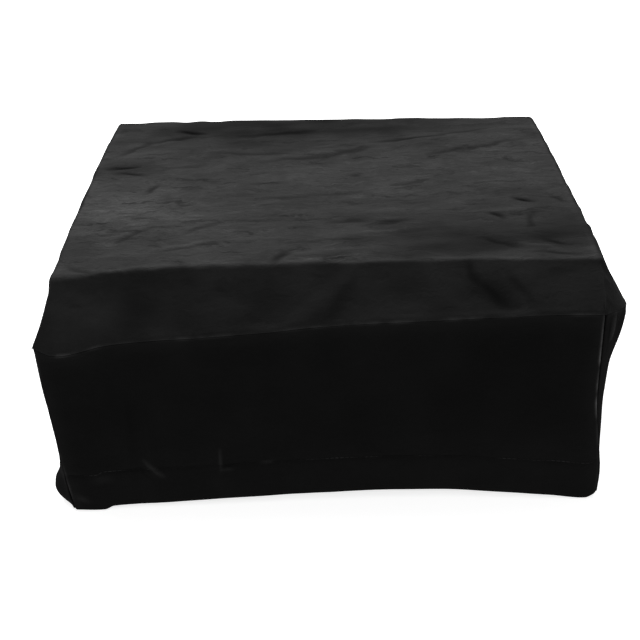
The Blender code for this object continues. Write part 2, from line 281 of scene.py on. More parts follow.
# Broad patches of painted light and shade across the lid, as the light falls on it: x, y, half length, half
# width, change.
TOP_LIGHT_AND_SHADE = (
    (-30.0, 150.0, 260.0, 65.0, -0.30),
    (-190.0, -40.0, 110.0, 80.0, 0.30),
    (50.0, 20.0, 270.0, 70.0, 0.10),
    (-100.0, -90.0, 130.0, 80.0, 0.12),
    (-60.0, 90.0, 110.0, 30.0, -0.12),
    (120.0, -125.0, 120.0, 60.0, -0.26),
    (210.0, -100.0, 50.0, 70.0, -0.18),
    (-190.0, 55.0, 40.0, 25.0, -0.18),
    (190.0, 85.0, 50.0, 60.0, 0.10),
)
# The same on the sloping border: painted light near its front corners and painted shade between them.
BORDER_LIGHT_AND_SHADE = (
    (-200.0, -190.0, 60.0, 30.0, 0.10),
    (-150.0, -185.0, 25.0, 20.0, -0.05),
    (130.0, -190.0, 30.0, 25.0, -0.02),
    (205.0, -185.0, 35.0, 20.0, 0.04),
)
# Painted highlights along the seam, where its edge catches the light: middle along a side, half length,
# shine.
# The top panel's edge has them along its front half, and the walls' edges on all four sides.
SEAM_HIGHLIGHTS = (
    (-215.0, 15.0, 0.25),
    (-180.0, 30.0, 0.14),
    (-100.0, 45.0, 0.16),
    (-20.0, 25.0, 0.12),
    (35.0, 45.0, 0.2),
    (105.0, 20.0, 0.2),
    (155.0, 25.0, 0.1),
    (205.0, 20.0, 0.22),
)

# Each side's first and last corner, and which way is out.
SIDES = {
    "front": ("front_left", "front_right", np.array((0.0, -1.0, 0.0))),
    "right": ("front_right", "back_right", np.array((1.0, 0.0, 0.0))),
    "back": ("back_left", "back_right", np.array((0.0, 1.0, 0.0))),
    "left": ("front_left", "back_left", np.array((-1.0, 0.0, 0.0))),
}
UP = np.array((0.0, 0.0, 1.0))


def smooth_rows(rows, at):
    """The rows' further columns, on a smooth curve over their first column."""
    rows = np.array(rows)
    knots, values = rows[:, 0], rows[:, 1:]
    order = np.arange(len(knots))
    before, after = np.maximum(order - 1, 0), np.minimum(order + 1, len(knots) - 1)
    slopes = (values[after] - values[before]) / (knots[after] - knots[before])[:, None]
    at = np.clip(at, knots[0], knots[-1])
    k = np.clip(np.searchsorted(knots, at, side="right") - 1, 0, len(knots) - 2)
    span = (knots[k + 1] - knots[k])[..., None]
    t = (at - knots[k])[..., None] / span
    ease = t * t * (3.0 - 2.0 * t)
    leave = t * (1.0 - t) ** 2 * span * slopes[k]
    arrive = t * t * (1.0 - t) * span * slopes[k + 1]
    return values[k] + (values[k + 1] - values[k]) * ease + leave - arrive


def edge_line(side, corners, rows):
    """A side's line through its two corners and the rows between, by share s or by distance along."""
    first, last, out = SIDES[side]
    run = np.abs(out[[1, 0, 2]])

    def corner_row(name):
        x, y, drop = corners[name]
        return (run @ (x, y, 0.0), out @ (x, y, 0.0), drop)

    track = (corner_row(first), *rows, corner_row(last))

    def at(s=None, along=None):
        if along is None:
            along = track[0][0] + s * (track[-1][0] - track[0][0])
        reach, drop = np.moveaxis(smooth_rows(track, along), -1, 0)
        return along[..., None] * run + reach[..., None] * out - drop[..., None] * UP

    return at


def patch(low, high, left, right):
    """A smooth patch spanned by four edges: low and high run with s, left and right with t."""

    def at(s, t):
        start, end = np.zeros_like(s), np.ones_like(s)
        low_pair = low(start) * (1.0 - s)[..., None] + low(end) * s[..., None]
        high_pair = high(start) * (1.0 - s)[..., None] + high(end) * s[..., None]
        across = (low(s) - low_pair) * (1.0 - t)[..., None] + (high(s) - high_pair) * t[..., None]
        return across + left(t) * (1.0 - s)[..., None] + right(t) * s[..., None]

    return at


lid_lines = {side: edge_line(side, LID_CORNERS, LID_EDGES[side]) for side in SIDES}
seam_lines = {side: edge_line(side, SEAM_CORNERS, SEAMS[side]) for side in SIDES}
on_lid = patch(*(lid_lines[side] for side in ("front", "back", "left", "right")))


def over_edge(fold, seam, t):
    """From the fold over the lid's edge (t = 0), round an arc, then straight to the seam (t = 1)."""
    out = (seam - fold) * (1.0, 1.0, 0.0)
    reach, fall = np.linalg.norm(out, axis=-1), fold[..., 2] - seam[..., 2]
    far = np.hypot(reach, fall - FOLD_RADIUS)
    turn = np.arctan2(fall - FOLD_RADIUS, reach) + np.arcsin(FOLD_RADIUS / far)
    run = t * (FOLD_RADIUS * turn + np.sqrt(far**2 - FOLD_RADIUS**2))
    bend = np.minimum(run / FOLD_RADIUS, turn)
    rest = np.maximum(run - FOLD_RADIUS * turn, 0.0)
    forward = FOLD_RADIUS * np.sin(bend) + rest * np.cos(turn)
    down = FOLD_RADIUS * (1.0 - np.cos(bend)) + rest * np.sin(turn)
    return fold + (forward / reach)[..., None] * out - down[..., None] * UP


def border_points(side, s, t):
    """Down the sloping border of a side, from the lid's edge (t = 0) to the seam (t = 1)."""
    fold = lid_lines[side](s)
    seam = seam_lines[side](along=fold[..., 0] if SIDES[side][2][0] == 0.0 else fold[..., 1])
    return over_edge(fold, seam, t)


def corner_points(end, side, a, b):
    """The border's corner, a and b down its side and its end: a soft hip runs to the seam's corner."""
    corner = end + "_" + side
    lid_x, lid_y, lid_drop = LID_CORNERS[corner]
    seam_x, seam_y, seam_drop = SEAM_CORNERS[corner]
    lid, seam = np.array((lid_x, lid_y, -lid_drop)), np.array((seam_x, seam_y, -seam_drop))
    s, t = np.full_like(a, side == "right"), np.full_like(a, end == "back")
    down = np.maximum(a, b)
    lean = (b - a) / down
    soft = np.sqrt(lean**2 + HIP_SOFTNESS**2 * (1.0 - lean**2))

    def hipped(k):
        hip = over_edge(lid, seam, k)
        to_end = (border_points(end, s, k) - hip) * ((soft + lean) / 2.0)[..., None]
        to_side = (border_points(side, t, k) - hip) * ((soft - lean) / 2.0)[..., None]
        return hip + to_end + to_side

    on_seam = np.where(
        (b >= a)[..., None],
        seam_lines[end](along=lid_x + a / down * (seam_x - lid_x)),
        seam_lines[side](along=lid_y + b / down * (seam_y - lid_y)),
    )
    return hipped(down) + (on_seam - hipped(np.ones_like(a))) * (down**3)[..., None]


def top_points(u, v):
    """The top panel: its lid part where u and v are within 1, its border out to the seam at 2."""
    s, t = np.clip(0.5 + 0.5 * u, 0.0, 1.0), np.clip(0.5 + 0.5 * v, 0.0, 1.0)
    a, b = np.maximum(abs(u) - 1.0, 0.0), np.maximum(abs(v) - 1.0, 0.0)
    points = on_lid(s, t)
    for side, beside in (("left", u < -1.0), ("right", u > 1.0)):
        strip = beside & (b == 0.0)
        points[strip] = border_points(side, t[strip], a[strip])
        for end, beyond in (("front", v < -1.0), ("back", v > 1.0)):
            points[beside & beyond] = corner_points(end, side, a[beside & beyond], b[beside & beyond])
    for end, beyond in (("front", v < -1.0), ("back", v > 1.0)):
        strip = beyond & (a == 0.0)
        points[strip] = border_points(end, s[strip], b[strip])
    return points


SIDES_ROUND = ("low", "end", "high", "start")   # a grid's outline, counter-clockwise from its first point


def outward(points):
    """The direction out of the cloth at each point of a grid."""
    normal = np.cross(np.gradient(points, axis=1), np.gradient(points, axis=0))
    return unit(normal)


def unit(vectors):
    """The same directions, with length one."""
    return vectors / np.linalg.norm(vectors, axis=-1, keepdims=True)


def pinched(x, y, rows):
    """The height of all the creases in a table, at places on the flat cloth."""
    height = np.zeros_like(x)
    for start_x, start_y, end_x, end_y, half_width, rise in rows:
        run_x, run_y = end_x - start_x, end_y - start_y
        along = ((x - start_x) * run_x + (y - start_y) * run_y) / (run_x**2 + run_y**2)
        along = np.clip(along, 0.0, 1.0)
        away = np.hypot(x - start_x - run_x * along, y - start_y - run_y * along) / half_width
        taper = 1.0 - CREASE_TAPER * (2.0 * along - 1.0) ** 2
        height += rise * taper * np.maximum(1.0 - away**2, 0.0) ** 2
    return height


def mounded(x, y, rows):
    """The sum of a table's soft oval mounds: x, y, half length, half width, amount."""
    height = np.zeros_like(x)
    for centre_x, centre_y, half_x, half_y, amount in rows:
        away = np.hypot((x - centre_x) / half_x, (y - centre_y) / half_y)
        height += amount * np.maximum(1.0 - away**2, 0.0) ** 2
    return height


def rumple(x, y, length, width, seed):
    """Soft unevenness between -1 and 1, in patches of the given length and width."""
    lattice = np.random.default_rng(seed).uniform(-1.0, 1.0, (97, 97))
    i, j = np.floor(x / length).astype(int), np.floor(y / width).astype(int)
    p, q = x / length - i, y / width - j
    p, q = p * p * (3.0 - 2.0 * p), q * q * (3.0 - 2.0 * q)
    near = lattice[j % 97, i % 97] * (1.0 - p) + lattice[j % 97, (i + 1) % 97] * p
    far = lattice[(j + 1) % 97, i % 97] * (1.0 - p) + lattice[(j + 1) % 97, (i + 1) % 97] * p
    return near * (1.0 - q) + far * q


def highlight_along(along, rows, seed):
    """How strong a painted highlight is along an edge, in broken stretches: middle, half length, shine."""
    shine = np.zeros_like(along)
    for middle, half_length, amount in rows:
        shine += amount * np.clip(1.5 - 1.5 * abs(along - middle) / half_length, 0.0, 1.0)
    return shine * np.clip(0.7 + 0.6 * rumple(along, 0.0 * along, 9.0, 1.0, seed), 0.0, 1.2)


def seam_edge(points, pile_and_painted_light, sides, turns):
    """The cloth beyond a grid's outline: it rolls in by the turn of each side, then lies in the seam."""
    last_row, last_column = points.shape[0] - 1, points.shape[1] - 1
    rows, columns = np.arange(last_row + 1), np.arange(last_column + 1)
    walks = {
        "low": (0 * columns, columns),
        "end": (rows, 0 * rows + last_column),
        "high": (0 * columns + last_row, columns[::-1]),
        "start": (rows[::-1], 0 * rows),
    }
    i, j = (np.concatenate([walks[side][axis] for side in sides]) for axis in (0, 1))
    turn = np.radians(np.concatenate([np.full(len(walks[side][0]), turns[side]) for side in sides]))
    inner = points[np.clip(i, 1, last_row - 1), np.clip(j, 1, last_column - 1)]
    normal = outward(points)[i, j]
    onward = points[i, j] - inner
    onward = unit(onward - (onward * normal).sum(-1, keepdims=True) * normal)
    corners = points[[0, 0, -1, -1], [0, -1, 0, -1]]
    to_corner = np.linalg.norm(points[i, j][:, None] - corners, axis=-1).min(-1)
    rolled = []
    for step in np.linspace(0.0, 1.0, ROLL_STEPS):
        angle = (turn * step)[:, None]
        rolled.append(points[i, j] + SEAM_ROLL * (onward * np.sin(angle) - normal * (1.0 - np.cos(angle))))
    allowance = np.clip(to_corner, 1.0, SEAM_ALLOWANCE)[:, None]
    rolled.append(rolled[-1] + allowance * (onward * np.cos(turn)[:, None] - normal * np.sin(turn)[:, None]))
    rolled = np.stack(rolled[::-1])
    return rolled, np.broadcast_to(pile_and_painted_light[i, j], rolled.shape[:2])


def velvet_sheet(name, grids, material):
    """One smooth sheet, joined from grids of points (in mm from the top of the cloth) and shares of the
    lighter pile colour, which carry how flat the pile lies and painted light and shade.
    """
    corners, quads, taken = [], [], 0
    for points, _ in grids:
        rows, columns = points.shape[:2]
        index = taken + np.arange(rows * columns).reshape(rows, columns)
        cells = [index[:-1, :-1], index[:-1, 1:], index[1:, 1:], index[1:, :-1]]
        quads.append(np.stack(cells, axis=-1).reshape(-1, 4))
        corners.append(points.reshape(-1, 3))
        taken += rows * columns
    pile_and_painted_light = np.concatenate([share.reshape(-1) for _, share in grids])
    corners, kept, index = np.unique(
        np.concatenate(corners).round(4), axis=0, return_index=True, return_inverse=True
    )
    mesh = bpy.data.meshes.new(name)
    placed = (corners + UP * CLOTH) * MM
    mesh.from_pydata(placed.tolist(), [], index.reshape(-1)[np.concatenate(quads)].tolist())
    share_attribute = mesh.attributes.new("pile_and_painted_light", "FLOAT", "POINT")
    share_attribute.data.foreach_set("value", pile_and_painted_light[kept].astype(np.float32))
    mesh.shade_smooth()
    mesh.materials.append(material)
    sheet = bpy.data.objects.new(name, mesh)
    bpy.context.scene.collection.objects.link(sheet)
    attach(sheet, "root")
    return sheet


# Across the panel and up it: the lid's share in even cells, then the border's.
LID_CELLS, BORDER_CELLS = (196, 234), (22, 33)
HALF_LID = (216.0, 163.0)   # from the middle of the lid to its edges, about
stops_across, stops_up = (
    np.concatenate([
        np.linspace(-2.0, -1.0, border, endpoint=False),
        np.linspace(-1.0, 1.0, lid, endpoint=False),
        np.linspace(1.0, 2.0, border + 1),
    ])
    for lid, border in zip(LID_CELLS, BORDER_CELLS)
)
u, v = np.meshgrid(stops_across, stops_up)
lid = on_lid(np.clip(0.5 + 0.5 * u, 0.0, 1.0), np.clip(0.5 + 0.5 * v, 0.0, 1.0))
over_x = np.copysign(np.maximum(abs(u) - 1.0, 0.0), u)
over_y = np.copysign(np.maximum(abs(v) - 1.0, 0.0), v)
x, y = lid[..., 0] + over_x * BORDER, lid[..., 1] + over_y * BORDER
share_down = np.maximum(abs(over_x), abs(over_y))
from_edge = (1.0 - share_down) * BORDER
within_lid = np.minimum((1.0 - abs(u)) * HALF_LID[0], (1.0 - abs(v)) * HALF_LID[1])
from_fold = np.where(share_down > 0.0, -share_down * BORDER, within_lid)
level = np.clip(1.4 - 22.0 * share_down + 0.7 * rumple(x, y, 13.0, 13.0, seed=11), 0.0, 1.0)

# Slack cloth lies in faint ripples along the width, rising a little to the right, and is at its
# most restless at the front right corner. A lip stands where the edge is turned into the seam.
slant_x, slant_y = x + RIPPLE_SLANT * y, y - RIPPLE_SLANT * x
restless = np.clip((x - 60.0) / 160.0, 0.0, 1.0) * np.clip((-20.0 - y) / 90.0, 0.0, 1.0)
ripples = rumple(slant_x, slant_y, 52.0, 12.0, seed=3) * 0.22
ripples += rumple(slant_x, slant_y, 24.0, 7.0, seed=4) * (0.08 + 0.3 * restless)
ripples += rumple(x, y, 95.0, 60.0, seed=5) * 0.5 * level
ripples += rumple(x, y, 19.0, 15.0, seed=6) * 0.4 * (1.0 - level)
lip = EDGE_LIP * np.exp(-(((from_edge - 2.2) / 1.4) ** 2)) * (0.6 + 0.4 * rumple(x, y, 31.0, 31.0, seed=7))
ripples += rumple(x, y, 16.0, 16.0, seed=15) * 0.6 * np.exp(-((from_fold / 6.0) ** 2))
wander_x, wander_y = x + 3.0 * rumple(x, y, 14.0, 9.0, seed=12), y + 2.5 * rumple(x, y, 12.0, 8.0, seed=13)
marks = pinched(wander_x, wander_y, TOP_MARKS)
lift = pinched(x, y, TOP_CREASES) + MARK_HEIGHT * marks + ripples
lift = lift * np.minimum(1.0, from_edge / CREASES_END) + lip
top = top_points(u, v)
top = top + outward(top) * lift[..., None]

# Painted light and shade on the top: the lid lighter and the border darker, partly for how flat the pile
# lies, broad patches across both, and the marks darker in their troughs and lighter on their ridges.
pile_and_painted_light = BORDER_PILE_AND_SHADE + (LID_PILE_AND_LIGHT + mounded(x, y, TOP_LIGHT_AND_SHADE) - BORDER_PILE_AND_SHADE) * level
pile_and_painted_light = pile_and_painted_light + mounded(x, y, BORDER_LIGHT_AND_SHADE) * (1.0 - level) + MARK_LIGHT_AND_SHADE * marks
pile_and_painted_light += rumple(slant_x, slant_y, 60.0, 11.0, seed=8) * 0.05 * level
pile_and_painted_light += rumple(x, y, 23.0, 15.0, seed=10) * (0.03 + 0.03 * level)
# Painted highlights in broken stretches: a rim along the lid's edge, not at the back, and along the seam's
# front half.
highlighted = np.clip(0.4 + 0.9 * rumple(x, y, 17.0, 17.0, seed=14), 0.0, 1.0) * (v < 0.9)
pile_and_painted_light += RIM_HIGHLIGHT * highlighted * np.exp(-(((from_fold - RIM_PLACE) / RIM_WIDTH) ** 2))
pile_and_painted_light += (v < 0.0) * highlight_along(x, SEAM_HIGHLIGHTS, seed=16) * np.exp(-((from_edge / SEAM_HIGHLIGHT_REACH) ** 2))
pile_and_painted_light = np.clip(pile_and_painted_light, 0.0, 1.0)

# Velvet: a dense cut pile on a knitted ground. The pile is near black where it stands and greyer
# in the streaks where it is pressed flat; the ground is a plain dull knit, seen from inside.
# The share of the greyer colour, given at each point, carries painted light and shade as well as how flat
# the pile lies.
velvet_pile = bpy.data.node_groups.new("velvet_pile", "ShaderNodeTree")
for socket, kind, way in (
    ("Standing", "NodeSocketColor", "INPUT"),
    ("Pressed", "NodeSocketColor", "INPUT"),
    ("Pile And Light Share", "NodeSocketFloat", "INPUT"),
    ("Mottling", "NodeSocketFloat", "INPUT"),
    ("Color", "NodeSocketColor", "OUTPUT"),
    ("Height", "NodeSocketFloat", "OUTPUT"),
):
    velvet_pile.interface.new_socket(socket, in_out=way, socket_type=kind)
group_nodes, group_link = velvet_pile.nodes, velvet_pile.links.new
given, result = group_nodes.new("NodeGroupInput"), group_nodes.new("NodeGroupOutput")
place_on = group_nodes.new("ShaderNodeTexCoord")


def of_both(operation, first, second, kind="ShaderNodeMath"):
    """A sum or product of two values, each a socket or a constant."""
    both = group_nodes.new(kind)
    both.operation = operation
    for socket, value in zip(both.inputs, (first, second)):
        if isinstance(value, bpy.types.NodeSocket):
            group_link(value, socket)
        else:
            socket.default_value = value
    return both.outputs[0]


def noise_over(coordinates, per_metre, detail):
    """A noise that changes so many times per metre along each axis."""
    noise = group_nodes.new("ShaderNodeTexNoise")
    noise.inputs["Scale"].default_value = 1.0
    noise.inputs["Detail"].default_value = detail
    noise.inputs["Roughness"].default_value = 0.58
    group_link(of_both("MULTIPLY", coordinates, per_metre, "ShaderNodeVectorMath"), noise.inputs["Vector"])
    return noise


def unevenness(coordinates, per_metre, detail):
    """The same as a value from about -1 to 1."""
    spread = group_nodes.new("ShaderNodeMapRange")
    spread.inputs["From Min"].default_value = 0.3
    spread.inputs["From Max"].default_value = 0.7
    spread.inputs["To Min"].default_value = -1.0
    group_link(noise_over(coordinates, per_metre, detail).outputs["Fac"], spread.inputs["Value"])
    return spread.outputs["Result"]


def strokes(coordinates, per_metre, level):
    """Scattered strokes with ragged ends, 1 where a noise passes a level and 0 elsewhere."""
    passed = group_nodes.new("ShaderNodeMapRange")
    passed.inputs["From Min"].default_value = level
    passed.inputs["From Max"].default_value = level + 0.07
    group_link(noise_over(coordinates, per_metre, 4.0).outputs["Fac"], passed.inputs["Value"])
    return passed.outputs["Result"]


def total(*shares):
    """The sum of values, each with its weight."""
    summed = 0.0
    for value, weight in shares:
        summed = of_both("ADD", summed, of_both("MULTIPLY", value, weight))
    return summed


# The pile lies in patches a few centimetres across, in short streaks and in single tufts. The
# coordinates wander by some millimetres, so that the patches have ragged edges.
on_cloth = place_on.outputs["Object"]
wandering = noise_over(on_cloth, (45.0, 60.0, 60.0), 3.0).outputs["Color"]
wandering = of_both("SUBTRACT", wandering, (0.5, 0.5, 0.5), "ShaderNodeVectorMath")
wandering = of_both("MULTIPLY", wandering, (0.03, 0.022, 0.022), "ShaderNodeVectorMath")
wandering = of_both("ADD", on_cloth, wandering, "ShaderNodeVectorMath")
patches = unevenness(wandering, (22.0, 42.0, 34.0), 4.0)
streaks = unevenness(wandering, (46.0, 170.0, 110.0), 4.0)
wisps = unevenness(wandering, (150.0, 480.0, 380.0), 3.0)
tufts = unevenness(on_cloth, (900.0, 900.0, 900.0), 2.0)
dark_strokes = strokes(wandering, (19.0, 88.0, 60.0), 0.57)
light_strokes = strokes(wandering, (30.0, 260.0, 160.0), 0.6)
shade = group_nodes.new("ShaderNodeMix")
shade.data_type = "RGBA"
doubled_share = of_both("MULTIPLY", 2.0, given.outputs["Pile And Light Share"])
brushed = total((streaks, 0.25), (wisps, 0.2), (dark_strokes, -0.8), (light_strokes, 0.5))
mottled = total((patches, 0.35), (tufts, 0.15), (of_both("MULTIPLY", brushed, doubled_share), 1.0))
share = of_both("ADD", 1.0, of_both("MULTIPLY", mottled, given.outputs["Mottling"]))
group_link(of_both("MULTIPLY", share, given.outputs["Pile And Light Share"]), shade.inputs["Factor"])
group_link(given.outputs["Standing"], shade.inputs["A"])
group_link(given.outputs["Pressed"], shade.inputs["B"])
group_link(shade.outputs["Result"], result.inputs["Color"])
ruffled = of_both("MULTIPLY", total((streaks, 0.5), (wisps, 0.12)), doubled_share)
group_link(total((patches, 0.3), (ruffled, 1.0), (tufts, 0.04)), result.inputs["Height"])

KNIT_GROUND = (0.008, 0.008, 0.008, 1.0)


def velvet_material(name, standing, pile_and_painted_light, mottling, sheen):
    """Velvet of its own depth of black, standing and pressed, unevenness and sheen at a slant."""
    material = bpy.data.materials.new(name)
    material.use_nodes = True
    nodes, link = material.node_tree.nodes, material.node_tree.links.new
    shader = nodes["Principled BSDF"]
    pile, pile_and_light_share = nodes.new("ShaderNodeGroup"), nodes.new("ShaderNodeAttribute")
    pile.node_tree = velvet_pile
    pile_and_light_share.attribute_name = "pile_and_painted_light"
    link(pile_and_light_share.outputs["Fac"], pile.inputs["Pile And Light Share"])
    pile.inputs["Standing"].default_value = (standing, standing, standing, 1.0)
    pile.inputs["Pressed"].default_value = (pile_and_painted_light, pile_and_painted_light, pile_and_painted_light, 1.0)
    pile.inputs["Mottling"].default_value = mottling
    faces, side_seen = nodes.new("ShaderNodeNewGeometry"), nodes.new("ShaderNodeMix")
    side_seen.data_type = "RGBA"
    side_seen.inputs["B"].default_value = KNIT_GROUND
    link(faces.outputs["Backfacing"], side_seen.inputs["Factor"])
    link(pile.outputs["Color"], side_seen.inputs["A"])
    link(side_seen.outputs["Result"], shader.inputs["Base Color"])
    bump = nodes.new("ShaderNodeBump")
    bump.inputs["Strength"].default_value = 0.6
    bump.inputs["Distance"].default_value = 0.0014
    link(pile.outputs["Height"], bump.inputs["Height"])
    link(bump.outputs["Normal"], shader.inputs["Normal"])
    shader.inputs["Roughness"].default_value = 0.85
    shader.inputs["Specular IOR Level"].default_value = 0.0
    shader.inputs["Sheen Weight"].default_value = 1.0
    shader.inputs["Sheen Roughness"].default_value = 0.4
    shader.inputs["Sheen Tint"].default_value = (sheen, sheen, sheen, 1.0)
    return material


top_velvet = velvet_material("top_velvet", 0.002, 0.052, 0.45, sheen=0.02)
top_grids = [
    (top, pile_and_painted_light),
    seam_edge(top, pile_and_painted_light, SIDES_ROUND, dict.fromkeys(SIDES_ROUND, 140.0)),
]
top_panel = velvet_sheet("top_panel_velvet", top_grids, top_velvet)
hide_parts("top_panel")

# ---------------------------------------------------------------------------------------------
# The four walls: each is one rectangle of the same velvet, sewn to the top panel along its upper
# edge and to its neighbours at the corners. They hang free, bowed in and out in soft folds, and
# the hem is turned up inside by 33 mm.

SEAM_DROP = 1.9             # from the top panel's edge to where a wall starts to turn into the seam
CORNER_STEP = 1.75          # the same, from the corner seam
HEM_DEPTH = 33.0
HEM_ROLL = 1.4
STITCH_PITCH = 4.2
STITCH_LENGTH = 3.3
STITCH_TAPER = 0.82         # how far a stitch narrows from its middle to its ends
STITCH_GROOVE = 0.7         # how deep the stitches draw the cloth in
GROOVE_WIDTH = 1.3
HEM_PUFF = 0.7              # how far the doubled hem stands out
HEM_PUFF_RISE = 6.0         # it gets there over this distance below the stitches
THREAD_RADIUS = 0.24
THREAD_DARK = (0.0035, 0.0035, 0.0035, 1.0)
# The thread's colour under a painted highlight.
THREAD_HIGHLIGHT = (0.075, 0.075, 0.075, 1.0)
# The walls' share of the lighter pile: partly how flat it lies, partly painted shade that keeps them darker
# than the lid.
WALL_PILE_AND_SHADE = 0.044
HEM_PAINTED_LIGHT = 0.06          # how much lighter the wall is painted towards the hem: painted light against the shade near the floor
SEAM_SIDE_PAINTED_LIGHT = 0.025        # how much lighter the wall is painted beside the seams: painted light against the shade of their grooves
SEAM_EDGE = 10.0            # how far that reaches from the upper seam
CORNER_EDGE = 8.0           # and from the corner seams
WALL_SEAM_HIGHLIGHT = 0.7        # the share of the seam's painted highlight on the wall's side of it
FOLDS_END = 4.0             # the folds die away over this distance from the upper seam
PUCKER_HIGHLIGHT = 0.11         # how much lighter a pucker is painted, for each mm that stands out: a painted highlight
WALL_HEIGHT = 165.0
HEM_CORNERS = {
    "front_left": (-223.0, -206.5, 208.5),
    "front_right": (226.5, -206.0, 204.0),
    "back_right": (229.0, 201.0, 210.0),
    "back_left": (-230.0, 203.0, 210.0),
}
HEMS = {
    "front": (
        (-197.0, 206.0, 209.5),
        (-189.0, 204.5, 207.0),
        (-140.0, 202.5, 206.0),
        (-90.0, 201.0, 204.2),
        (-45.0, 199.5, 203.4),
        (10.0, 198.0, 202.5),
        (60.0, 198.0, 201.8),
        (105.0, 199.0, 202.6),
        (145.0, 201.5, 204.5),
        (188.0, 204.5, 207.0),
        (217.0, 206.0, 209.5),
    ),
    "right": (
        (-150.0, 227.0, 207.0),
        (0.0, 224.0, 205.0),
        (130.0, 227.0, 208.0),
    ),
    "back": (
        (-120.0, 198.0, 206.0),
        (20.0, 195.0, 203.0),
        (150.0, 198.0, 207.0),
    ),
    "left": (
        (-190.0, 231.2, 207.5),
        (-165.0, 232.5, 209.0),
        (-120.0, 230.0, 207.0),
        (20.0, 225.0, 205.0),
        (140.0, 227.0, 208.0),
    ),
}
# How the corner seams hang between the top seam and the hem: drop, x, y.
CORNER_SEAMS = {
    "front_left": (
        (80.0, -236.6, -201.0),
        (120.0, -234.2, -200.0),
        (160.0, -230.8, -200.5),
        (185.0, -227.5, -203.0),
    ),
    "front_right": (
        (70.0, 220.8, -199.0),
        (115.0, 222.0, -198.0),
        (150.0, 225.9, -199.0),
        (185.0, 228.4, -202.0),
    ),
    "back_right": (
        (90.0, 227.0, 194.0),
        (150.0, 227.0, 197.0),
    ),
    "back_left": (
        (90.0, -229.0, 197.0),
        (150.0, -228.0, 199.0),
    ),
}
# Soft folds: along, drop, half width along, half height, push outwards.
WALL_FOLDS = {
    "front": (
        (-153.0, 150.0, 9.0, 70.0, 1.8),
        (-166.0, 150.0, 8.0, 70.0, -1.8),
        (-96.0, 172.0, 9.0, 30.0, 1.6),
        (10.0, 110.0, 90.0, 60.0, -3.0),
        (205.0, 70.0, 24.0, 60.0, 2.0),
    ),
    "right": (
        (-172.0, 75.0, 14.0, 50.0, 4.0),
        (-146.0, 84.0, 50.0, 46.0, -5.8),
        (-30.0, 120.0, 40.0, 75.0, 3.0),
        (70.0, 130.0, 40.0, 70.0, -4.0),
    ),
    "back": (
        (-130.0, 120.0, 40.0, 70.0, -3.0),
        (0.0, 130.0, 60.0, 70.0, 3.0),
        (140.0, 110.0, 40.0, 70.0, -4.0),
    ),
    "left": (
        (-160.0, 125.0, 46.0, 72.0, -9.5),
        (-184.0, 197.0, 22.0, 18.0, 8.6),
        (-60.0, 120.0, 40.0, 70.0, 3.0),
        (60.0, 130.0, 50.0, 70.0, -4.0),
    ),
}
# Narrow creases, most of them drawn in by the hem's stitching: start along and height, end along
# and height, half width, push outwards. Heights are below the top, so they are negative.
WALL_CREASES = {
    "front": (
        (-165.0, -170.0, -150.0, -185.0, 4.0, -0.8),
        (-100.0, -155.0, -100.0, -185.0, 3.0, -0.6),
        (-60.0, -145.0, -60.0, -175.0, 3.5, 0.6),
        (-165.0, -95.0, -165.0, -165.0, 5.0, -0.8),
        (-155.0, -100.0, -155.0, -165.0, 4.0, 0.8),
        (-190.0, -60.0, -180.0, -150.0, 10.0, 0.9),
        (-40.0, -150.0, -40.0, -185.0, 5.0, 0.6),
        (20.0, -140.0, 20.0, -175.0, 7.0, 0.5),
        (95.0, -150.0, 100.0, -180.0, 6.0, 0.6),
        (170.0, -140.0, 175.0, -180.0, 7.0, 0.7),
    ),
    "right": (
        (-180.0, -60.0, -160.0, -150.0, 8.0, -1.4),
        (-120.0, -150.0, -112.0, -188.0, 7.0, 1.2),
        (-20.0, -140.0, -14.0, -186.0, 8.0, 1.0),
        (60.0, -150.0, 64.0, -188.0, 7.0, 1.1),
        (140.0, -140.0, 136.0, -186.0, 8.0, 1.0),
    ),
    "back": (
        (-150.0, -140.0, -146.0, -186.0, 7.0, 1.2),
        (-70.0, -150.0, -74.0, -188.0, 6.0, 1.0),
        (10.0, -144.0, 12.0, -186.0, 8.0, 0.9),
        (90.0, -150.0, 86.0, -188.0, 6.0, 1.2),
        (160.0, -140.0, 166.0, -186.0, 8.0, 1.0),
    ),
    "left": (
        (-184.0, -160.0, -176.0, -200.0, 6.0, 1.6),
        (-140.0, -150.0, -136.0, -190.0, 7.0, 1.1),
        (-50.0, -140.0, -54.0, -188.0, 8.0, 1.1),
        (50.0, -150.0, 54.0, -188.0, 7.0, 1.0),
        (130.0, -140.0, 126.0, -186.0, 8.0, 1.0),
    ),
}
# Short puckers where the hem's stitching caught the cloth, and a pinch below the ear, in the same
# columns. They are painted lighter, a painted highlight on their crests.
PUCKERS = {
    "front": (
        (-160.0, -165.0, -145.0, -180.0, 3.5, 1.4),
        (-95.0, -155.0, -95.0, -175.0, 2.5, 1.1),
        (-95.0, -175.0, -85.0, -175.0, 2.5, 0.7),
        (-60.0, -170.0, -50.0, -170.0, 2.5, 0.9),
        (-205.0, -180.0, -190.0, -180.0, 6.5, 0.5),
        (-220.0, -195.0, -210.0, -200.0, 5.0, 0.8),
    ),
    "right": (
        (-190.0, -35.0, -190.0, -60.0, 2.5, 2.6),
        (-116.0, -160.0, -112.0, -178.0, 3.0, 0.8),
        (60.0, -158.0, 64.0, -176.0, 3.0, 0.8),
    ),
    "back": (
        (-72.0, -160.0, -74.0, -180.0, 3.0, 0.8),
        (88.0, -158.0, 86.0, -178.0, 3.0, 1.0),
    ),
    "left": (
        (-138.0, -162.0, -136.0, -180.0, 3.0, 0.8),
        (52.0, -160.0, 54.0, -178.0, 3.0, 0.8),
    ),
}
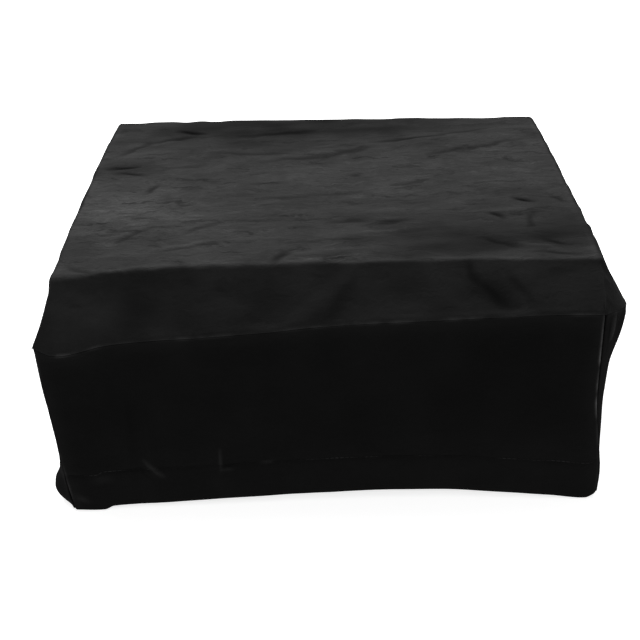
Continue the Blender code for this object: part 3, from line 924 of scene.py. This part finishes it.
# Painted highlights along the corner seams, where their edges catch the light: middle and half length by
# drop, shine.
CORNER_HIGHLIGHTS = {
    "front_left": (
        (62.0, 22.0, 0.14),
        (176.0, 26.0, 0.45),
    ),
    "front_right": (
        (54.0, 34.0, 0.8),
        (98.0, 44.0, 0.6),
        (160.0, 60.0, 0.2),
    ),
    "back_right": (
        (80.0, 50.0, 0.3),
        (170.0, 40.0, 0.3),
    ),
    "back_left": (
        (70.0, 40.0, 0.3),
        (150.0, 50.0, 0.3),
    ),
}
# Painted highlights on the hem's thread, in stretches where it catches the light: middle along, half length,
# share.
THREAD_HIGHLIGHTS = {
    "front": (
        (-190.0, 20.0, 0.7),
        (-150.0, 10.0, 0.5),
        (10.0, 35.0, 0.8),
        (80.0, 10.0, 0.6),
        (150.0, 10.0, 0.6),
        (195.0, 35.0, 0.8),
    ),
    "right": (
        (-90.0, 40.0, 0.4),
        (80.0, 60.0, 0.4),
    ),
    "back": (
        (-120.0, 40.0, 0.4),
        (60.0, 60.0, 0.4),
    ),
    "left": (
        (-60.0, 50.0, 0.4),
        (120.0, 40.0, 0.4),
    ),
}
# Cells along and up each wall.
WALL_CELLS = {"front": (380, 140), "right": (300, 92), "back": (240, 92), "left": (210, 92)}


def corner_seam(corner):
    """The upright seam at a corner, from the hem (t = 0) up to the top panel's seam (t = 1)."""
    x, y, drop = SEAM_CORNERS[corner]
    hem_x, hem_y, hem_drop = HEM_CORNERS[corner]
    top_drop = drop + SEAM_DROP
    rows = ((top_drop, x, y), *CORNER_SEAMS[corner], (hem_drop, hem_x, hem_y))

    def at(t):
        drops = hem_drop + t * (top_drop - hem_drop)
        return np.concatenate([smooth_rows(rows, drops), -drops[..., None]], axis=-1)

    return at


def turned_hem(points, pile_and_painted_light, rows_up):
    """The hem: from a wall's lowest row round the fold, then up behind the wall."""
    facing = outward(points)
    down = points[0] - points[1]
    down = unit(down - (down * facing[0]).sum(-1, keepdims=True) * facing[0])
    turn = [
        points[0] + HEM_ROLL * (down * math.sin(angle) - facing[0] * (1.0 - math.cos(angle)))
        for angle in np.linspace(0.0, math.pi, 9)
    ]
    behind = points[1:rows_up] - 2.0 * HEM_ROLL * facing[1:rows_up]
    strip = np.concatenate([np.array(turn), behind])[::-1]
    return strip, np.broadcast_to(pile_and_painted_light[0], strip.shape[:2])


def stitch_row(name, line, facing, highlighted, material):
    """A row of raised stitches of thread along a line on the cloth, one plump tapered loop for each."""
    step = np.linalg.norm(np.diff(line, axis=0), axis=-1)
    walked = np.concatenate([[0.0], np.cumsum(step)])
    middles = np.arange(STITCH_PITCH, walked[-1] - STITCH_PITCH, STITCH_PITCH)

    def at(track, places):
        return np.stack([np.interp(places, walked, track[:, axis]) for axis in range(3)], axis=-1)

    centre, normal = at(line, middles), unit(at(facing, middles))
    run = unit(at(line, middles + 0.5) - at(line, middles - 0.5))
    side_way = np.cross(normal, run)
    rings, sides = 5, 6
    k = np.linspace(-1.0, 1.0, rings)
    girth = THREAD_RADIUS * np.sqrt(1.0 - STITCH_TAPER * k**2)
    turn = np.arange(sides) * math.tau / sides
    bulge = 0.35 * THREAD_RADIUS - 0.3 * THREAD_RADIUS * k**2
    template = np.stack([
        np.repeat(0.5 * STITCH_LENGTH * k, sides),
        np.outer(girth, np.cos(turn)).ravel(),
        np.outer(girth, np.sin(turn)).ravel() + np.repeat(bulge, sides),
    ])
    placed = (
        centre[:, None]
        + template[0][None, :, None] * run[:, None]
        + template[1][None, :, None] * side_way[:, None]
        + template[2][None, :, None] * normal[:, None]
    )
    ring, post = np.meshgrid(np.arange(rings - 1), np.arange(sides), indexing="ij")
    following = (post + 1) % sides
    quads = np.stack([
        ring * sides + post,
        ring * sides + following,
        (ring + 1) * sides + following,
        (ring + 1) * sides + post,
    ], axis=-1).reshape(-1, 4)
    first_of = np.arange(len(middles)) * rings * sides
    faces = (quads[None] + first_of[:, None, None]).reshape(-1, 4).tolist()
    for start in first_of.tolist():
        faces.append([start + post for post in reversed(range(sides))])
        faces.append([start + (rings - 1) * sides + post for post in range(sides)])
    mesh = bpy.data.meshes.new(name)
    mesh.from_pydata(((placed.reshape(-1, 3) + UP * CLOTH) * MM).tolist(), [], faces)
    share = np.repeat(np.interp(middles, walked, highlighted), rings * sides)
    thread_highlight = mesh.attributes.new("highlighted", "FLOAT", "POINT")
    thread_highlight.data.foreach_set("value", share.astype(np.float32))
    mesh.shade_smooth()
    mesh.materials.append(material)
    stitches = bpy.data.objects.new(name, mesh)
    bpy.context.scene.collection.objects.link(stitches)
    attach(stitches, "root")
    return stitches


def thread_material():
    """Black sewing thread: duller in its twist's grooves, painted a little lighter in stretches as a painted
    highlight.
    """
    material = bpy.data.materials.new("sewing_thread")
    material.use_nodes = True
    nodes, link = material.node_tree.nodes, material.node_tree.links.new
    shader = nodes["Principled BSDF"]
    where, highlighted = nodes.new("ShaderNodeTexCoord"), nodes.new("ShaderNodeAttribute")
    highlighted.attribute_name = "highlighted"
    uneven, tone, twist = (nodes.new("ShaderNode" + kind) for kind in ("TexNoise", "Mix", "TexWave"))
    uneven.inputs["Scale"].default_value = 160.0
    share = nodes.new("ShaderNodeMath")
    share.operation = "MULTIPLY"
    tone.data_type = "RGBA"
    tone.inputs["A"].default_value, tone.inputs["B"].default_value = THREAD_DARK, THREAD_HIGHLIGHT
    twist.bands_direction = "DIAGONAL"
    twist.inputs["Scale"].default_value = 700.0
    bump = nodes.new("ShaderNodeBump")
    bump.inputs["Strength"].default_value = 0.5
    bump.inputs["Distance"].default_value = 0.0001
    link(where.outputs["Object"], uneven.inputs["Vector"])
    link(where.outputs["Object"], twist.inputs["Vector"])
    link(uneven.outputs["Fac"], share.inputs[0])
    link(highlighted.outputs["Fac"], share.inputs[1])
    link(share.outputs["Value"], tone.inputs["Factor"])
    link(tone.outputs["Result"], shader.inputs["Base Color"])
    link(twist.outputs["Fac"], bump.inputs["Height"])
    link(bump.outputs["Normal"], shader.inputs["Normal"])
    shader.inputs["Roughness"].default_value = 0.6
    shader.inputs["Specular IOR Level"].default_value = 0.06
    return material


hem_lines = {side: edge_line(side, HEM_CORNERS, HEMS[side]) for side in SIDES}
wall_velvet = velvet_material("wall_velvet", 0.002, 0.052, 0.3, sheen=0.011)
sewing_thread = thread_material()
for number, side in enumerate(SIDES):
    first, last, out = SIDES[side]
    hung = patch(
        hem_lines[side],
        lambda s: seam_lines[side](s) - SEAM_DROP * UP,
        corner_seam(first),
        corner_seam(last),
    )
    columns, rows = WALL_CELLS[side]
    length = np.linalg.norm(seam_lines[side](np.ones(1)) - seam_lines[side](np.zeros(1)))
    margin = CORNER_STEP / length
    s, t = np.meshgrid(
        np.linspace(margin, 1.0 - margin, columns + 1),
        np.linspace(HEM_ROLL / WALL_HEIGHT, 1.0, rows + 1),
    )
    if side in ("back", "left"):
        s = s[:, ::-1]
    wall = hung(s, t)
    along, height = wall @ np.abs(out[[1, 0, 2]]), wall[..., 2]
    above_hem = height - hung(s, 0.0 * t)[..., 2] - HEM_DEPTH
    below_hem = np.clip(-above_hem / HEM_PUFF_RISE, 0.0, 1.0)
    puff = np.where(above_hem < 0.0, HEM_PUFF * np.sqrt(below_hem), 0.0)
    drawn_in = 0.5 + 0.5 * rumple(along, 0.0 * height, 11.0, 1.0, seed=40 + number)
    puckers = pinched(along, height, PUCKERS[side])
    push = pinched(along, height, WALL_CREASES[side]) + puckers
    push += mounded(along, -height, WALL_FOLDS[side])
    push += rumple(along, height, 34.0, 80.0, seed=20 + number) * 0.5
    push += rumple(along, height, 13.0, 36.0, seed=30 + number) * 0.12
    push += puff - STITCH_GROOVE * drawn_in * np.exp(-((above_hem / GROOVE_WIDTH) ** 2))
    push *= np.minimum(1.0, (1.0 - t) * WALL_HEIGHT / FOLDS_END)
    wall = wall + outward(wall) * push[..., None]
    # Painted light and shade on the walls: darker than the lid, lighter towards the hem and beside the
    # seams, and lighter on the puckers; the rumple is the pile's own uneven tone.
    pile_and_painted_light = WALL_PILE_AND_SHADE + HEM_PAINTED_LIGHT * (1.0 - t) ** 3
    pile_and_painted_light += 0.008 * rumple(along, height, 24.0, 60.0, seed=50 + number)
    pile_and_painted_light += PUCKER_HIGHLIGHT * puckers
    below_seam = (1.0 - t) * WALL_HEIGHT
    pile_and_painted_light += SEAM_SIDE_PAINTED_LIGHT * np.exp(-((below_seam / SEAM_EDGE) ** 2))
    # Painted highlights along the upper seam, and on the front and back walls along the corner seams.
    seam_highlight = WALL_SEAM_HIGHLIGHT * highlight_along(along, SEAM_HIGHLIGHTS, seed=16)
    pile_and_painted_light += seam_highlight * np.exp(-((below_seam / SEAM_HIGHLIGHT_REACH) ** 2))
    for corner, from_corner in zip((first, last), (s, 1.0 - s)):
        inward = from_corner * length - CORNER_STEP
        if side in ("front", "back"):
            corner_highlight = highlight_along(-height, CORNER_HIGHLIGHTS[corner], seed=17)
            pile_and_painted_light += corner_highlight * np.exp(-((inward / SEAM_HIGHLIGHT_REACH) ** 2))
            pile_and_painted_light += SEAM_SIDE_PAINTED_LIGHT * np.exp(-((inward / CORNER_EDGE) ** 2))
    pile_and_painted_light = np.clip(pile_and_painted_light, 0.0, 1.0)
    hem_row = np.argmax(above_hem > 0.0, axis=0)
    columns_of = np.arange(columns + 1)
    below, above = above_hem[hem_row - 1, columns_of], above_hem[hem_row, columns_of]
    k = (below / (below - above))[:, None]
    facing = outward(wall)
    stitch_line = wall[hem_row - 1, columns_of] * (1.0 - k) + wall[hem_row, columns_of] * k
    highlighted = highlight_along(along[0], THREAD_HIGHLIGHTS[side], seed=18)
    facing_there = facing[hem_row, columns_of]
    stitches = stitch_row(side + "_hem_stitches", stitch_line, facing_there, highlighted, sewing_thread)
    rows_up = int(HEM_DEPTH / WALL_HEIGHT * rows) + 1
    grids = [
        (wall, pile_and_painted_light),
        seam_edge(wall, pile_and_painted_light, ("end", "high", "start"), {"end": 135.0, "high": 90.0, "start": 135.0}),
        turned_hem(wall, pile_and_painted_light, rows_up),
    ]
    sheet = velvet_sheet(side + "_wall_velvet", grids, wall_velvet)
    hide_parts(side + "_wall")
